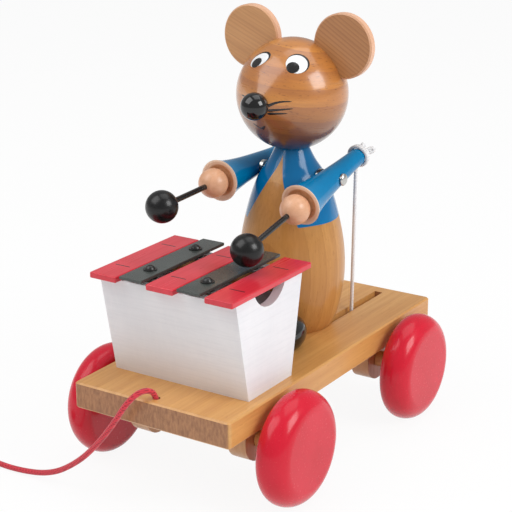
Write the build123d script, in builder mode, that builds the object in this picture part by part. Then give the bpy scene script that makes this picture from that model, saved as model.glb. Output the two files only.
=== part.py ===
from build123d import *
import os
from math import asin, cos, degrees, pi, radians, sin, sqrt, tan

# A wooden pull-along mouse that plays a xylophone. Millimetres, +Z up, the mouse
# looks towards -Y and its own left hand is on +X. The origin is on the floor, at
# the middle of the toy's plan. The cranked rear axle pulls two strings, and the
# strings lift the mallets in turn.

os.makedirs("parts", exist_ok=True)

# ---------------------------------------------------------------- clearances
running = 0.05          # radial play of a shaft that turns in its bore
slip = 0.1              # play of a screw, a slotted ear or a string in its hole
side_play = 0.25        # end play beside a turning piece
seat_gap = 0.3          # air under a part that rests on soft felt

# ---------------------------------------------------------------- wheels and board
wheel_d = 60.0
wheel_w = 17.0
wheel_face_d = 41.0     # flat of the outer face
wheel_back_d = 49.0     # flat of the inner face
wheel_crown = 10.2      # from the outer face in to the widest circle
wheel_bore_depth = 14.0
wheel_gap = 4.0         # board side to wheel
axle_d = 4.0
front_axle_y = -62.0
rear_axle_y = 63.0

board_l = 208.0
board_w = 95.0
board_t = 14.0
board_bottom = 42.5
board_corner_r = 2.0
board_edge = 0.8

block_r = 12.0          # round lower half of each bearing block
block_t = 11.0
block_outer_x = 36.5
spacer_d = 9.0

slot_x = 18.1
slot_w = 5.0
slot_l = 66.0
slot_rear_margin = 8.0
cord_hole_d = 4.0
cord_hole_edge = 6.0    # hole centre to the board's front edge

# ---------------------------------------------------------------- crank and strings
crank_throw = 3.0
crank_phase = 49.0      # degrees the left throw stands above the rearward level
crank_x = 17.0
crank_pin_half = 4.0
crank_step = 2.5
crank_bend_r = 2.4
string_d = 1.6

# ---------------------------------------------------------------- xylophone
box_w = 82.0
box_wall = 5.0
box_y = -57.8
box_bottom_depth = 39.5
box_top_depth = 60.0
box_top = 109.8
notch_r = 15.0
notch_depth = 9.0
rail_w = 6.0
rail_h = 8.0
rail_half_span = 19.5
felt_t = 1.0
bar_l = 72.0
bar_pitch = 17.4
bar_count = 5
red_bar_w = 16.4
red_bar_t = 3.2
red_bar_edge = 0.8
metal_bar_w = 13.6
metal_bar_t = 1.6
metal_bar_edge = 0.3
washer_d = 7.0
washer_t = 2.7
head_washer_t = 0.5
bar_screw_d = 2.6
bar_screw_head_d = 5.2
bar_screw_head_h = 2.0
bar_screw_hold = 5.0    # thread in the rail
staple_w = 9.0
staple_wire = 0.8
staple_hold = 2.3       # leg in the rail

# ---------------------------------------------------------------- mouse
mouse_y = 28.5
body_base_r = 21.6
body_top = 157.6
body_top_r = 9.0
head_r = 30.0
head_z = 186.0
muzzle_angle = 35.0     # where the muzzle's cone leaves the round head
muzzle_reach = 32.3
muzzle_r = 5.6
nose_d = 14.6
nose_peg_d = 5.0
nose_peg_l = 8.0
neck_peg_d = 10.0
neck_peg_l = 24.0
neck_peg_up = 14.0      # part of the peg in the head
ear_r = 17.3
ear_t = 5.0
ear_x = 28.4
ear_rise = 27.4         # ear centre over head centre
ear_back = 2.8          # ear's front face behind the head centre
ear_edge = 0.8
foot_x = 18.0
foot_y = -7.8
foot_w = 21.0
foot_l = 30.0
foot_sink = 2.6         # how much of the egg is sawn off for the sole
screw_d = 4.0
screw_head_d = 8.0
body_screw_l = 38.0
box_screw_l = 18.0
box_screw_x = 22.0

# ---------------------------------------------------------------- arms
arm_x = 25.2
pivot_z = 143.0
left_droop = 12.0       # degrees the left arm hangs below level at rest
right_droop = 1.8
pin_d = 3.0
cap_d = 6.6
cap_t = 2.2
cap_bore = 1.3
shoulder_washer_d = 8.0
shoulder_washer_t = 2.0
body_flat_x = 17.0      # flat on the body's flank under the washer
sleeve_end = 31.0       # pivot back to the sleeve's round end
sleeve_end_r = 4.8
sleeve_waist_r = 6.0
sleeve_fore_r = 8.1
cuff_at = 33.2          # pivot forward to the cuff's rim
cuff_r = 11.3
cuff_rim = 0.9
cuff_dish = 1.8
cuff_seat_r = 6.5
hand_r = 8.0
hand_flat_r = 3.3       # flat on which the hand sits in the cuff
stick_d = 3.0
stick_in_sleeve = 10.0
mallet_at = 84.5
mallet_r = 8.5
mallet_bore = 7.0
string_hole_at = 28.0   # pivot back to the string hole's middle
string_hole_lean = 30.0
string_hole_d = 1.8
string_stem = 6.5       # string hole's middle down to the end of the stem
knot_r = 2.5
knot_at = 6.6           # string hole's middle up to the knot

# ---------------------------------------------------------------- pull cord
cord_d = 3.0
cord_route = (
    (0, -98, 52.5),
    (0, -98, 59.6),
    (-3.4, -104.6, 62.6),
    (-8.5, -110.6, 57),
    (-15.5, -112.4, 45),
    (-26, -113.2, 31),
    (-40, -112.6, 17),
    (-59, -112, 4.8),
    (-82, -113, 1.6),
    (-104, -111.7, 1.6),
)
coil_x = -113.5
coil_y = -132.5
coil_mid_r = 17.0
coil_columns = 3
coil_layers = 2
coil_lift = 0.5         # underside of the coil above the floor
coil_corner = 1.4
tie_t = 0.4
tie_turn = 10.0         # degrees of the coil that the tie covers
tie_angle = 150.0
bead_d = 15.0
bead_bore_d = 3.2
bead_knot_r = 3.0
board_knot_r = 4.0      # flattened knot drawn up under the board
board_knot_h = 2.3

# ---------------------------------------------------------------- derived places
axle_z = wheel_d / 2
axle_r = axle_d / 2
wheel_inner_x = board_w / 2 + wheel_gap
wheel_outer_x = wheel_inner_x + wheel_w
board_top = board_bottom + board_t
box_lean = (box_top_depth - box_bottom_depth) / 2 / (box_top - board_top)
box_inner_x = box_w / 2 - box_wall
wall_across = box_wall * sqrt(1 + box_lean**2)
felt_top = box_top + seat_gap
rail_top = felt_top - felt_t
red_bar_top = felt_top + red_bar_t
metal_bar_low = felt_top + washer_t
metal_bar_top = metal_bar_low + metal_bar_t
nose_r = nose_d / 2
string_r = string_d / 2
cord_r = cord_d / 2
cord_hole_y = cord_hole_edge - board_l / 2


def keep(part, node):
    """Name a finished piece and write it out."""
    part.label = node
    export_step(part, f"parts/{node}.step")


def facing(y):
    """Upright plane across the toy at y: local x is X, local y is Z, normal -Y."""
    return Plane(origin=(0, y, 0), x_dir=(1, 0, 0), z_dir=(0, -1, 0))


def mirrored(part, node):
    """The same piece on the toy's other side."""
    with BuildPart() as other:
        mirror(part, about=Plane.YZ)
    keep(other.part, node)


def rod(start, end, radius, mode=Mode.ADD):
    """Straight round bar or hole between two points, for use inside a builder."""
    start, end = Vector(*start), Vector(*end)
    with BuildSketch(Plane(origin=start, z_dir=end - start)) as disc:
        Circle(radius)
    extrude(disc.sketch, amount=(end - start).length, mode=mode)


# ================================================================ chassis
def countersunk(x, y):
    """Plane on the board's underside, from which a screw goes up."""
    return Plane(origin=(x, y, board_bottom), x_dir=(1, 0, 0), z_dir=(0, 0, -1))


def make_board():
    slot_y = board_l / 2 - slot_rear_margin - slot_l / 2
    with BuildPart() as base_board:
        with BuildSketch(Plane.XY.offset(board_bottom)):
            RectangleRounded(board_w, board_l, board_corner_r)
        extrude(amount=board_t)
        rims = base_board.faces().sort_by(Axis.Z)
        chamfer(rims[0].edges() + rims[-1].edges(), board_edge)
        with BuildSketch(Plane.XY.offset(board_bottom)):
            with Locations((slot_x, slot_y), (-slot_x, slot_y)):
                Rectangle(slot_w, slot_l)
            with Locations((0, cord_hole_y)):
                Circle(cord_hole_d / 2)
        extrude(amount=board_t, mode=Mode.SUBTRACT)
        for x, y in ((0, mouse_y), (box_screw_x, box_y), (-box_screw_x, box_y)):
            with Locations(countersunk(x, y)):
                CounterSinkHole(screw_d / 2 + slip, screw_head_d / 2, board_t)
    keep(base_board.part, "base_board")


def screw(x, y, length):
    """Countersunk wood screw driven up from the board's underside."""
    upright = Plane(origin=(x, y, board_bottom), x_dir=(1, 0, 0), z_dir=(0, -1, 0))
    with BuildSketch(upright) as profile:
        head_h = (screw_head_d - screw_d) / 2 - slip
        with BuildLine():
            Polyline(
                (0, 0),
                (screw_head_d / 2 - slip, 0),
                (screw_d / 2, head_h),
                (screw_d / 2, length - screw_d),
                (0, length),
                close=True,
            )
        make_face()
    revolve(profile.sketch, axis=Axis((x, y, 0), (0, 0, 1)))


def make_board_screws():
    with BuildPart() as body_screw:
        screw(0, mouse_y, body_screw_l)
    keep(body_screw.part, "body_screw")
    with BuildPart() as box_screws:
        screw(box_screw_x, box_y, box_screw_l)
        screw(-box_screw_x, box_y, box_screw_l)
    keep(box_screws.part, "box_screws")


# ================================================================ wheels and axles
def make_wheels(y, end):
    crown_x = wheel_outer_x - wheel_crown
    face_r = wheel_face_d / 2
    back_r = wheel_back_d / 2
    wheel_r = wheel_d / 2
    with BuildPart() as wheel:
        with BuildSketch(Plane(origin=(0, y, axle_z), x_dir=(1, 0, 0), z_dir=(0, -1, 0))):
            with BuildLine():
                Line((wheel_inner_x, back_r), (wheel_inner_x, 0))
                Line((wheel_inner_x, 0), (wheel_outer_x, 0))
                Line((wheel_outer_x, 0), (wheel_outer_x, face_r))
                EllipticalCenterArc(
                    (crown_x, face_r), wheel_crown, wheel_r - face_r, 0, arc_size=90
                )
                EllipticalCenterArc(
                    (crown_x, back_r), crown_x - wheel_inner_x, wheel_r - back_r, 90, arc_size=90
                )
            make_face()
        revolve(axis=Axis((0, y, axle_z), (1, 0, 0)))
        with BuildSketch(Plane.YZ.offset(wheel_inner_x)):
            with Locations((y, axle_z)):
                Circle(axle_r)
        extrude(amount=wheel_bore_depth, mode=Mode.SUBTRACT)
    keep(wheel.part, f"{end}_wheel_left")
    mirrored(wheel.part, f"{end}_wheel_right")


def make_spacers(y, end):
    inner = block_outer_x + side_play
    with BuildPart() as spacers:
        for x in (inner, -wheel_inner_x):
            with BuildSketch(Plane.YZ.offset(x)):
                with Locations((y, axle_z)):
                    Circle(spacer_d / 2)
                    Circle(axle_r, mode=Mode.SUBTRACT)
            extrude(amount=wheel_inner_x - inner)
    keep(spacers.part, f"{end}_spacers")


def crank_pin(side):
    """Centre of a throw: the left one stands up and back, the right one opposite."""
    out = crank_throw * side
    return Vector(
        side * crank_x,
        rear_axle_y + out * cos(radians(crank_phase)),
        axle_z + out * sin(radians(crank_phase)),
    )


def make_axles():
    reach = wheel_inner_x + wheel_bore_depth
    with BuildPart() as front_axle:
        rod((-reach, front_axle_y, axle_z), (reach, front_axle_y, axle_z), axle_r)
    keep(front_axle.part, "front_axle")

    foot_of_step = crank_pin_half + crank_step
    route = [(-reach, rear_axle_y, axle_z)]
    for side in (-1, 1):
        pin = crank_pin(side)
        route.append((pin.X - foot_of_step, rear_axle_y, axle_z))
        route.append((pin.X - crank_pin_half, pin.Y, pin.Z))
        route.append((pin.X + crank_pin_half, pin.Y, pin.Z))
        route.append((pin.X + foot_of_step, rear_axle_y, axle_z))
    route.append((reach, rear_axle_y, axle_z))
    with BuildPart() as crank_axle:
        with BuildLine() as wire:
            FilletPolyline(*route, radius=crank_bend_r)
        with BuildSketch(wire.line ^ 0):
            Circle(axle_r)
        sweep()
    keep(crank_axle.part, "rear_crank_axle")


def make_crank_loops():
    ring_r = axle_r + slip + string_r
    with BuildPart() as loops:
        for side in (-1, 1):
            with Locations(Plane(origin=crank_pin(side), z_dir=(1, 0, 0))):
                Torus(ring_r, string_r)
    keep(loops.part, "crank_loops")


# ================================================================ xylophone
def half_depth(z):
    """Half of the box's outside depth at height z."""
    return box_bottom_depth / 2 + box_lean * (z - board_top)


def make_box(staples):
    low, high = half_depth(board_top), half_depth(box_top)
    for side, node in ((-1, "box_front"), (1, "box_back")):
        with BuildPart() as wall:
            with BuildSketch(Plane.YZ.offset(-box_inner_x)):
                Polygon(
                    (box_y + side * low, board_top),
                    (box_y + side * high, box_top),
                    (box_y + side * (high - wall_across), box_top),
                    (box_y + side * (low - wall_across), board_top),
                    align=None,
                )
            extrude(amount=2 * box_inner_x)
        keep(wall.part, node)

    with BuildPart() as end_wall:
        with BuildSketch(Plane.YZ.offset(box_inner_x)):
            Polygon(
                (box_y - low, board_top),
                (box_y + low, board_top),
                (box_y + high, box_top),
                (box_y - high, box_top),
                align=None,
            )
            with Locations((box_y, box_top + notch_r - notch_depth)):
                Circle(notch_r, mode=Mode.SUBTRACT)
        extrude(amount=box_wall)
        add(staples, mode=Mode.SUBTRACT)
    keep(end_wall.part, "box_left")
    mirrored(end_wall.part, "box_right")

    floor_top = board_top + box_wall
    near, far = low - wall_across, half_depth(floor_top) - wall_across
    with BuildPart() as box_floor:
        with BuildSketch(Plane.YZ.offset(-box_inner_x)):
            Polygon(
                (box_y - near, board_top),
                (box_y + near, board_top),
                (box_y + far, floor_top),
                (box_y - far, floor_top),
                align=None,
            )
        extrude(amount=2 * box_inner_x)
        with BuildSketch(Plane.XY.offset(board_top)):
            with Locations((box_screw_x, box_y), (-box_screw_x, box_y)):
                Circle(screw_d / 2)
        extrude(amount=box_wall, mode=Mode.SUBTRACT)
    keep(box_floor.part, "box_floor")


rail_ys = (box_y - rail_half_span, box_y + rail_half_span)
bar_xs = [(i - (bar_count - 1) / 2) * bar_pitch for i in range(bar_count)]
red_xs = bar_xs[::2]
metal_xs = bar_xs[1::2]
staple_spots = [(x, y) for x in red_xs for y in rail_ys]
bar_screw_spots = [(x, y) for x in metal_xs for y in rail_ys]


def staple_solids():
    """Six U staples whose crowns are let into the red bars."""
    crown_low = red_bar_top - staple_wire
    leg_low = rail_top - staple_hold
    leg_x = (staple_w - staple_wire) / 2
    with BuildPart() as staples:
        for x, y in staple_spots:
            with BuildSketch(Plane.XY.offset(crown_low)):
                with Locations((x, y)):
                    Rectangle(staple_w, staple_wire)
            extrude(amount=staple_wire)
            with BuildSketch(Plane.XY.offset(leg_low)):
                with Locations((x - leg_x, y), (x + leg_x, y)):
                    Rectangle(staple_wire, staple_wire)
            extrude(amount=crown_low - leg_low)
    return staples.part


def make_rails(staples):
    for low, high, node in (
        (rail_top - rail_h, rail_top, "support_rails"),
        (rail_top, felt_top, "bar_felts"),
    ):
        with BuildPart() as strips:
            with BuildSketch(Plane.XY.offset(low)):
                with Locations(*[(0, y) for y in rail_ys]):
                    Rectangle(2 * box_inner_x, rail_w)
            extrude(amount=high - low)
            with BuildSketch(Plane.XY.offset(max(low, rail_top - bar_screw_hold))):
                with Locations(*bar_screw_spots):
                    Circle(bar_screw_d / 2)
            extrude(amount=rail_h, mode=Mode.SUBTRACT)
            add(staples, mode=Mode.SUBTRACT)
        keep(strips.part, node)


def make_bars(staples):
    for i, x in enumerate(bar_xs):
        red = i % 2 == 0
        width, low, thick, edge = (
            (red_bar_w, felt_top, red_bar_t, red_bar_edge)
            if red
            else (metal_bar_w, metal_bar_low, metal_bar_t, metal_bar_edge)
        )
        with BuildPart() as bar:
            with BuildSketch(Plane.XY.offset(low)):
                with Locations((x, box_y)):
                    RectangleRounded(width, bar_l, edge)
            extrude(amount=thick)
            faces = bar.faces().sort_by(Axis.Z)
            fillet(faces[-1].edges() + faces[0].edges(), edge * 0.9)
            if red:
                add(staples, mode=Mode.SUBTRACT)
            else:
                with BuildSketch(Plane.XY.offset(low)):
                    with Locations(*[(x, y) for y in rail_ys]):
                        Circle(bar_screw_d / 2 + slip)
                extrude(amount=thick, mode=Mode.SUBTRACT)
        keep(bar.part, f"{'wood' if red else 'metal'}_bar_{i + 1}")


def make_bar_fasteners(staples):
    keep(staples, "bar_staples")
    head_low = metal_bar_top + head_washer_t
    hole_r = bar_screw_d / 2 + slip
    with BuildPart() as bar_washers:
        for low, thick in ((felt_top, washer_t), (metal_bar_top, head_washer_t)):
            with BuildSketch(Plane.XY.offset(low)):
                with Locations(*bar_screw_spots):
                    Circle(washer_d / 2)
                    Circle(hole_r, mode=Mode.SUBTRACT)
            extrude(amount=thick)
    keep(bar_washers.part, "bar_washers")

    tip = rail_top - bar_screw_hold
    shank_r = bar_screw_d / 2
    rim_r = bar_screw_head_d / 2
    dome_r = (rim_r**2 + bar_screw_head_h**2) / (2 * bar_screw_head_h)
    halfway = asin(rim_r / dome_r) / 2
    dome_mid = (dome_r * sin(halfway), bar_screw_head_h - dome_r * (1 - cos(halfway)))
    with BuildPart() as bar_screws:
        for x, y in bar_screw_spots:
            with BuildSketch(Plane(origin=(x, y, head_low), x_dir=(1, 0, 0), z_dir=(0, -1, 0))):
                with BuildLine():
                    Polyline(
                        (0, bar_screw_head_h),
                        (0, tip - head_low),
                        (shank_r, tip - head_low),
                        (shank_r, 0),
                        (rim_r, 0),
                    )
                    ThreePointArc((rim_r, 0), dome_mid, (0, bar_screw_head_h))
                make_face()
            revolve(axis=Axis((x, y, 0), (0, 0, 1)))
    keep(bar_screws.part, "bar_screws")


# ================================================================ mouse
def make_mouse_body():
    with BuildPart() as mouse_body:
        with BuildSketch(facing(mouse_y)):
            with BuildLine():
                Line((0, board_top), (body_base_r, board_top))
                Spline(
                    (body_base_r, board_top),
                    (26.4, 68),
                    (29.2, 92),
                    (26, 117),
                    (17, 143.6),
                    (body_top_r, body_top),
                    tangents=((0.75, 1), (-0.42, 1)),
                )
                Line((body_top_r, body_top), (0, body_top))
                Line((0, body_top), (0, board_top))
            make_face()
        revolve(axis=Axis((0, mouse_y, 0), (0, 0, 1)))
        with BuildSketch(Plane.XY.offset(body_top)):
            with Locations((0, mouse_y)):
                Circle(neck_peg_d / 2)
        extrude(amount=neck_peg_up - neck_peg_l, mode=Mode.SUBTRACT)
        with BuildSketch(Plane.XY.offset(board_top)):
            with Locations((0, mouse_y)):
                Circle(screw_d / 2)
        extrude(amount=body_screw_l - board_t, mode=Mode.SUBTRACT)
        with BuildSketch(Plane.YZ.offset(-body_flat_x)):
            with Locations((mouse_y, pivot_z)):
                Circle(pin_d / 2)
        extrude(amount=2 * body_flat_x, mode=Mode.SUBTRACT)
        for start in (body_flat_x, -body_flat_x - body_base_r):
            with BuildSketch(Plane.YZ.offset(start)):
                with Locations((mouse_y, pivot_z)):
                    Circle(shoulder_washer_d / 2 + side_play)
            extrude(amount=body_base_r, mode=Mode.SUBTRACT)
    keep(mouse_body.part, "mouse_body")


def ear_disc(radius, front, thick):
    """Round ear blanks on both sides, for use inside a builder."""
    with BuildSketch(facing(front)) as discs:
        with Locations((ear_x, head_z + ear_rise), (-ear_x, head_z + ear_rise)):
            Circle(radius)
    extrude(discs.sketch, amount=-thick)


ear_front_y = mouse_y + ear_back
nose_y = mouse_y - muzzle_reach - sqrt(nose_r**2 - muzzle_r**2)


def make_head():
    cone_y = head_r * cos(radians(muzzle_angle))
    cone_r = head_r * sin(radians(muzzle_angle))
    back_angle = 180 - degrees(asin(cone_r / head_r))
    with BuildPart() as ear_tool:
        ear_disc(ear_r, ear_front_y, ear_t)
    with BuildPart() as head:
        # Profile beside the nose axis: local x runs back along +Y, local y is Z.
        with BuildSketch(Plane(origin=(0, mouse_y, head_z), x_dir=(0, 1, 0), z_dir=(1, 0, 0))):
            with BuildLine():
                CenterArc((0, 0), head_r, 0, back_angle)
                Polyline((-cone_y, cone_r), (-muzzle_reach, muzzle_r), (-muzzle_reach, 0))
                Line((-muzzle_reach, 0), (head_r, 0))
            make_face()
        revolve(axis=Axis((0, mouse_y, head_z), (0, 1, 0)))
        with BuildSketch(Plane.XY.offset(body_top)):
            with Locations((0, mouse_y)):
                Circle(head_r)
        extrude(amount=-head_r, mode=Mode.SUBTRACT)
        with BuildSketch(Plane.XY.offset(body_top)):
            with Locations((0, mouse_y)):
                Circle(neck_peg_d / 2)
        extrude(amount=neck_peg_up, mode=Mode.SUBTRACT)
        with BuildSketch(facing(mouse_y - muzzle_reach)):
            with Locations((0, head_z)):
                Circle(nose_peg_d / 2)
        extrude(amount=-nose_peg_l, mode=Mode.SUBTRACT)
        add(ear_tool.part, mode=Mode.SUBTRACT)
    keep(head.part, "head")


def make_ears():
    for side, node in ((1, "ear_left"), (-1, "ear_right")):
        with BuildPart() as ear:
            with BuildSketch(facing(ear_front_y)):
                with Locations((side * ear_x, head_z + ear_rise)):
                    Circle(ear_r)
            extrude(amount=-ear_t)
            chamfer(ear.edges().filter_by(GeomType.CIRCLE), ear_edge)
        keep(ear.part, node)


def make_nose():
    seat_y = mouse_y - muzzle_reach
    with BuildPart() as nose:
        with Locations((0, nose_y, head_z)):
            Sphere(nose_r)
        with BuildSketch(facing(seat_y)):
            with Locations((0, head_z)):
                Rectangle(nose_d, nose_d)
        extrude(amount=-nose_d, mode=Mode.SUBTRACT)
        with BuildSketch(facing(seat_y)):
            with Locations((0, head_z)):
                Circle(nose_peg_d / 2)
        extrude(amount=-nose_peg_l)
    keep(nose.part, "nose")


def make_neck_peg():
    with BuildPart() as neck_peg:
        with BuildSketch(Plane.XY.offset(body_top + neck_peg_up - neck_peg_l)):
            with Locations((0, mouse_y)):
                Circle(neck_peg_d / 2)
        extrude(amount=neck_peg_l)
    keep(neck_peg.part, "neck_peg")


def make_feet():
    ball_r = foot_w / 2
    middle = ball_r - foot_sink
    sole_r = sqrt(ball_r**2 - middle**2)
    with BuildPart() as foot:
        with BuildSketch(facing(0)):
            with BuildLine():
                Line((0, ball_r + middle), (0, 0))
                Line((0, 0), (sole_r, 0))
                ThreePointArc((sole_r, 0), (ball_r, middle), (0, ball_r + middle))
            make_face()
        revolve(axis=Axis.Z)
        scale(by=(1, foot_l / foot_w, 1))
    keep(foot.part.moved(Location((foot_x, foot_y, board_top))), "foot_left")
    keep(foot.part.moved(Location((-foot_x, foot_y, board_top))), "foot_right")


# ================================================================ shoulders and arms
sleeve_flat_x = body_flat_x + shoulder_washer_t + side_play
cap_x = arm_x + (arm_x - sleeve_flat_x) + side_play


def make_shoulder():
    pin_end = cap_x + cap_bore
    with BuildPart() as shoulder_pin:
        rod((-pin_end, mouse_y, pivot_z), (pin_end, mouse_y, pivot_z), pin_d / 2)
    keep(shoulder_pin.part, "shoulder_pin")

    with BuildPart() as washers:
        for x in (body_flat_x, -body_flat_x - shoulder_washer_t):
            with BuildSketch(Plane.YZ.offset(x)):
                with Locations((mouse_y, pivot_z)):
                    Circle(shoulder_washer_d / 2)
                    Circle(pin_d / 2, mode=Mode.SUBTRACT)
            extrude(amount=shoulder_washer_t)
    keep(washers.part, "shoulder_washers")

    with BuildPart() as cap:
        with BuildSketch(Plane(origin=(0, mouse_y, pivot_z), x_dir=(1, 0, 0), z_dir=(0, -1, 0))):
            with BuildLine():
                Polyline((cap_x + 0.6, cap_d / 2), (cap_x, cap_d / 2), (cap_x, 0), (cap_x + cap_t, 0))
                EllipticalCenterArc((cap_x + 0.6, 0), cap_t - 0.6, cap_d / 2, 0, arc_size=90)
            make_face()
        revolve(axis=Axis((0, mouse_y, pivot_z), (1, 0, 0)))
        with BuildSketch(Plane.YZ.offset(cap_x)):
            with Locations((mouse_y, pivot_z)):
                Circle(pin_d / 2)
        extrude(amount=cap_bore, mode=Mode.SUBTRACT)
    with BuildPart() as caps:
        add(cap.part)
        mirror(cap.part, about=Plane.YZ)
    keep(caps.part, "shoulder_caps")


def arm_plane(side, droop):
    """Local x runs forward along the arm from the pivot, local y points up."""
    ahead = (0, -cos(radians(droop)), -sin(radians(droop)))
    return Plane(origin=(side * arm_x, mouse_y, pivot_z), x_dir=ahead, z_dir=(-1, 0, 0))


def string_line(t):
    """Point on the slanted string hole, t from its middle, in the arm's plane."""
    lean = radians(string_hole_lean)
    return (-string_hole_at - t * sin(lean), t * cos(lean))


def string_mouth(side, droop):
    """Where the drive string leaves the stem under the sleeve."""
    return arm_plane(side, droop).from_local_coords((*string_line(-string_stem), 0))


def make_arm(side, droop, name):
    plane = arm_plane(side, droop)
    axis = Axis(plane.origin, plane.x_dir)
    seat_at = cuff_at - cuff_dish
    hand_at = seat_at + sqrt(hand_r**2 - hand_flat_r**2)
    end_centre = sleeve_end_r - sleeve_end
    stick_end = mallet_at - mallet_r + mallet_bore
    stick_start = seat_at - stick_in_sleeve

    def on_arm(s, n=0.0, across=0.0):
        return plane.from_local_coords((s, n, across))

    with BuildPart() as sleeve:
        with BuildSketch(plane):
            with BuildLine():
                CenterArc((end_centre, 0), sleeve_end_r, 90, 90)
                Spline(
                    (end_centre, sleeve_end_r),
                    (-4, sleeve_waist_r),
                    (18, sleeve_fore_r),
                    (cuff_at, cuff_r),
                    tangents=((1, 0.02), (1, 0.34)),
                )
                Polyline(
                    (cuff_at, cuff_r),
                    (cuff_at, cuff_r - cuff_rim),
                    (seat_at, cuff_seat_r),
                    (seat_at, 0),
                    (-sleeve_end, 0),
                )
            make_face()
        revolve(axis=axis)
        rod(on_arm(stick_start), on_arm(cuff_at), stick_d / 2, mode=Mode.SUBTRACT)
        pin_reach = 2 * sleeve_waist_r
        rod(on_arm(0, 0, -pin_reach), on_arm(0, 0, pin_reach), pin_d / 2 + running,
            mode=Mode.SUBTRACT)
        for turn in (1, -1):
            flat = turn * (arm_x - sleeve_flat_x)
            rod(on_arm(0, 0, flat), on_arm(0, 0, flat + turn * sleeve_waist_r),
                shoulder_washer_d / 2 + side_play, mode=Mode.SUBTRACT)
        hole_reach = 2 * sleeve_end_r
        rod(on_arm(*string_line(-hole_reach)), on_arm(*string_line(hole_reach)),
            string_hole_d / 2, mode=Mode.SUBTRACT)
    keep(sleeve.part, f"{name}_sleeve")

    with BuildPart() as knot:
        with Locations(on_arm(*string_line(knot_at))):
            Sphere(knot_r)
        add(sleeve.part, mode=Mode.SUBTRACT)
        rod(on_arm(*string_line(-string_stem)), on_arm(*string_line(knot_at)), string_r)
    keep(knot.part, f"{name}_string_knot")

    with BuildPart() as hand:
        with Locations(on_arm(hand_at)):
            Sphere(hand_r)
        rod(on_arm(seat_at - hand_r), on_arm(seat_at), hand_r, mode=Mode.SUBTRACT)
        rod(on_arm(seat_at), on_arm(hand_at + 2 * hand_r), stick_d / 2, mode=Mode.SUBTRACT)
    keep(hand.part, f"{name}_hand")

    with BuildPart() as stick:
        rod(on_arm(stick_start), on_arm(stick_end), stick_d / 2)
    keep(stick.part, f"{name}_stick")

    with BuildPart() as mallet:
        with Locations(on_arm(mallet_at)):
            Sphere(mallet_r)
        rod(on_arm(hand_at), on_arm(stick_end), stick_d / 2, mode=Mode.SUBTRACT)
    keep(mallet.part, f"{name}_mallet")
    return knot.part


def make_drive_string(side, droop, name, knot):
    """Straight string from just above the crank loop to the stem under the sleeve."""
    top = string_mouth(side, droop)
    pin = crank_pin(side)
    low = pin + (top - pin).normalized() * (axle_r + slip + string_d + seat_gap)
    with BuildPart() as string:
        rod(low, top, string_r)
        add(knot, mode=Mode.SUBTRACT)
    keep(string.part, f"drive_string_{name}")


# ================================================================ pull cord
def bend_radii(route):
    """One radius per corner: as wide as the shorter of the two runs allows."""
    points = [Vector(*p) for p in route]
    radii = []
    for before, corner, after in zip(points, points[1:], points[2:]):
        run_in, run_out = corner - before, after - corner
        turn = radians(run_in.get_angle(run_out))
        shorter = min(run_in.length, run_out.length)
        radii.append(0.45 * shorter / tan(turn / 2))
    return radii


def ring_section(width, height, corner):
    """Rounded section of the coil, for use in a sketch on an upright plane."""
    with Locations((coil_mid_r, coil_lift + coil_layers * cord_d / 2)):
        RectangleRounded(width, height, corner)


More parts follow.
